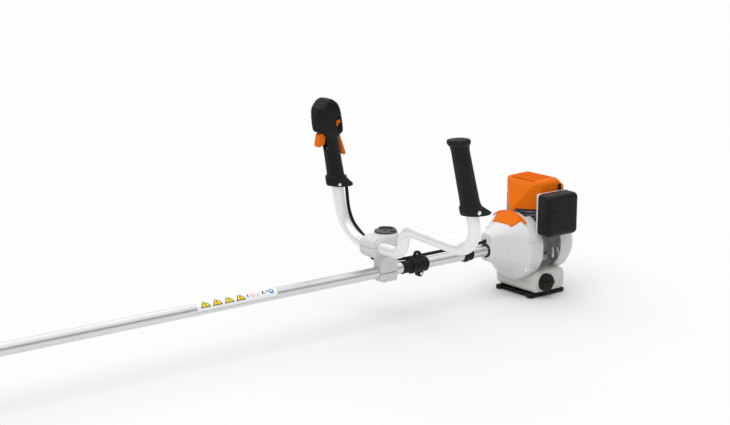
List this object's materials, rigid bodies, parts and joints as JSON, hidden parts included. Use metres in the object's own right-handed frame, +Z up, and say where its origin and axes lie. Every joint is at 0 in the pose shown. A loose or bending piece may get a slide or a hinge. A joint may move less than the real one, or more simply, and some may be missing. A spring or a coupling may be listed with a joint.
{
  "type": "brush mower",
  "caption": "Petrol brush mower with a straight drive tube, bike handlebar, throttle handle, carrying ring, bevel gearbox, three-arm brush knife and deflector.",
  "frame": {"origin": "middle of the bounding box in plan, at the lowest points: the skids under the tank and the deflector's lower edge", "axes": "+X along the drive tube from the cutting head back to the engine, +Y to the operator's right, +Z up"},
  "size_m": [1.7928, 0.5002, 0.5032],
  "materials": {
    "tube_aluminium": "brushed",
    "bar_aluminium": "satin bright",
    "clamp_grey": "fine grain",
    "casing_grey": "fine grain",
    "orange_plastic": "satin",
    "black_plastic": "satin",
    "black_rubber": "matte",
    "knob_dark": "satin",
    "tank_plastic": "translucent look, satin",
    "cast_aluminium": "cast",
    "machined_steel": "machined",
    "zinc_screws": "zinc plated",
    "blade_steel": "ground",
    "muffler_steel": "heat dulled",
    "fan_alloy": "cast",
    "nylon": "moulded",
    "plug_ceramic": "glazed"
  },
  "bodies": {
    "drive_unit": {"drive_tube": "tube_aluminium", "shaft_bushes": "nylon", "handle_column": "clamp_grey", "column_lower_clamp": "clamp_grey", "clamp_lift_spring": "machined_steel", "carrying_ring_sleeve": "black_plastic", "carrying_ring": "black_plastic", "carrying_ring_screw": "zinc_screws", "cable_clip": "black_plastic", "throttle_cable_lower": "black_rubber", "clutch_housing": "casing_grey", "tube_entry_seal": "black_rubber", "engine_shroud": "casing_grey", "crankcase": "cast_aluminium", "cylinder": "cast_aluminium", "piston": "cast_aluminium", "connecting_rod": "machined_steel", "spark_plug": "plug_ceramic", "ignition_module": "black_plastic", "muffler": "muffler_steel", "carburettor": "cast_aluminium", "air_filter_base": "casing_grey", "air_filter_cover": "black_plastic", "engine_top_cover": "orange_plastic", "fuel_tank": "tank_plastic", "tank_stand": "black_plastic", "starter_housing": "casing_grey", "starter_grip": "black_plastic", "ball_bearings": "machined_steel", "case_screws": "zinc_screws", "gearbox_housing": "cast_aluminium", "blade_guard": "black_plastic"},
    "bar_support": {"support_lower_shell": "clamp_grey", "support_upper_shell": "clamp_grey", "throttle_cable_middle": "black_rubber"},
    "clamp_knob": {"clamp_screw": "knob_dark"},
    "clamp_bow": {"clamp_screw_bow": "knob_dark"},
    "bar": {"handlebar": "bar_aluminium", "left_grip": "black_rubber", "grip_screws": "zinc_screws", "control_handle_inner_half": "black_plastic", "control_handle_outer_half": "black_plastic", "throttle_cable_upper": "black_rubber"},
    "trigger": {"throttle_trigger": "orange_plastic"},
    "lockout": {"trigger_lockout": "orange_plastic"},
    "slide_switch": {"stop_slide": "orange_plastic"},
    "crank": {"crankshaft": "machined_steel", "flywheel": "fan_alloy", "clutch_shoes": "machined_steel"},
    "shaft": {"drive_shaft": "machined_steel", "clutch_drum": "machined_steel", "bevel_pinion": "machined_steel"},
    "cutter": {"output_shaft": "machined_steel", "bevel_gear": "machined_steel", "thrust_plate": "blade_steel", "cutting_blade": "blade_steel", "rider_plate": "blade_steel", "collar_nut": "zinc_screws"},
    "tank_cap": {"fuel_cap": "black_plastic"},
    "choke": {"choke_lever": "black_plastic"}
  },
  "joints": [
    {"name": "bar_swivel", "type": "hinge", "parent": "drive_unit", "child": "bar_support", "pos_m": [0.37344, 0.12294, 0.1596], "axis": [0, 0, 1], "range_deg": [-90, 0]},
    {"name": "bar_tilt", "type": "hinge", "parent": "bar_support", "child": "bar", "pos_m": [0.34044, 0.12294, 0.1816], "axis": [0, 1, 0], "range_deg": [-15, 15]},
    {"name": "clamp_turn", "type": "hinge", "parent": "drive_unit", "child": "clamp_knob", "pos_m": [0.37344, 0.12294, 0.1596], "axis": [0, 0, 1], "range_deg": [0, 360]},
    {"name": "bow_fold", "type": "hinge", "parent": "clamp_knob", "child": "clamp_bow", "pos_m": [0.37344, 0.12294, 0.21415], "axis": [0, -1, 0], "range_deg": [0, 90]},
    {"name": "trigger_pull", "type": "hinge", "parent": "bar", "child": "trigger", "pos_m": [0.27425, 0.21612, 0.43442], "axis": [0.0079, -0.9992, -0.0387], "range_deg": [0, 20], "stiffness_Nm_per_rad": 0.4, "springref_deg": -11.46},
    {"name": "lockout_press", "type": "hinge", "parent": "bar", "child": "lockout", "pos_m": [0.30266, 0.21612, 0.44025], "axis": [-0.0079, 0.9992, 0.0387], "range_deg": [0, 5], "stiffness_Nm_per_rad": 0.5, "springref_deg": -5.73},
    {"name": "stop_slide_travel", "type": "slide", "parent": "bar", "child": "slide_switch", "axis": [-0.2009, -0.0395, 0.9788], "range_m": [-0.008, 0]},
    {"name": "crank_turn", "type": "hinge", "parent": "drive_unit", "child": "crank", "pos_m": [0.80594, 0.12294, 0.1196], "axis": [1, 0, 0], "continuous": true},
    {"name": "cutter_turn", "type": "hinge", "parent": "drive_unit", "child": "cutter", "pos_m": [-0.82731, 0.12294, 0.08366], "axis": [-0.5, 0, -0.866], "continuous": true},
    {"name": "shaft_turn", "type": "hinge", "parent": "drive_unit", "child": "shaft", "pos_m": [-0.76656, 0.12294, 0.1196], "axis": [1, 0, 0], "continuous": true},
    {"name": "cap_turn", "type": "hinge", "parent": "drive_unit", "child": "tank_cap", "pos_m": [0.78544, 0.05694, 0.0416], "axis": [0, -1, 0], "range_deg": [0, 270]},
    {"name": "choke_turn", "type": "hinge", "parent": "drive_unit", "child": "choke", "pos_m": [0.84344, 0.06454, 0.2376], "axis": [0, -1, 0], "range_deg": [0, 60]}
  ],
  "couplings": [
    {"joint": "shaft_turn", "follows": "cutter_turn", "ratio": -1.4}
  ]
}
